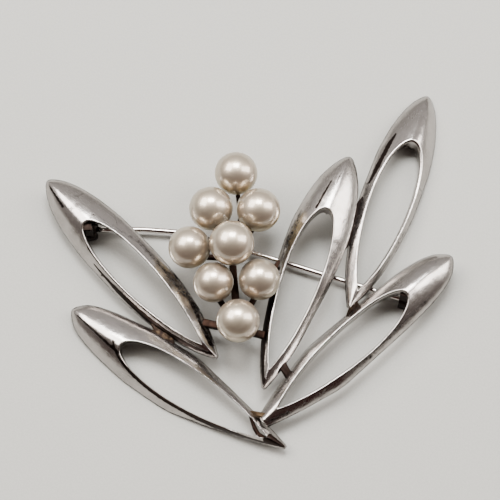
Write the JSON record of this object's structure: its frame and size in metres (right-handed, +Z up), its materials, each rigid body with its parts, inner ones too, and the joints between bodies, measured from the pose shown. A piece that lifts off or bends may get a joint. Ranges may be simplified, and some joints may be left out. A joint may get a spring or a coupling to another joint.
{
  "type": "pearl brooch",
  "caption": "Silver brooch of open, hollow leaves round a bunch of cream pearls, with a hinged pin and a hook catch on its back, lying face up",
  "frame": {"origin": "on the table, under the middle of the brooch, which lies face up", "axes": "+Z up out of the table and through the pearls, +X along the pin from its hinge to its catch, +Y towards the wearer's upper edge of the brooch"},
  "size_m": [0.0599, 0.0553, 0.0128],
  "materials": {
    "silver": "polished sterling silver, softly worn, with tarnish in the corners",
    "pin_wire": "drawn and polished silver wire",
    "pearl": "cream cultured pearl with a rose overtone and a soft lustre"
  },
  "bodies": {
    "spray": {"leaf_spray": "silver", "hinge_rivet": "silver", "pearl_1": "pearl", "pearl_2": "pearl", "pearl_3": "pearl", "pearl_4": "pearl", "pearl_5": "pearl", "pearl_6": "pearl", "pearl_7": "pearl", "pearl_8": "pearl"},
    "pin": {"pin_stem": "pin_wire"}
  },
  "joints": [
    {"name": "pin_hinge", "type": "hinge", "parent": "spray", "child": "pin", "pos_m": [-0.02358, 0.00557, 0.0013], "axis": [0, 1, 0], "range_deg": [0, 90]}
  ]
}
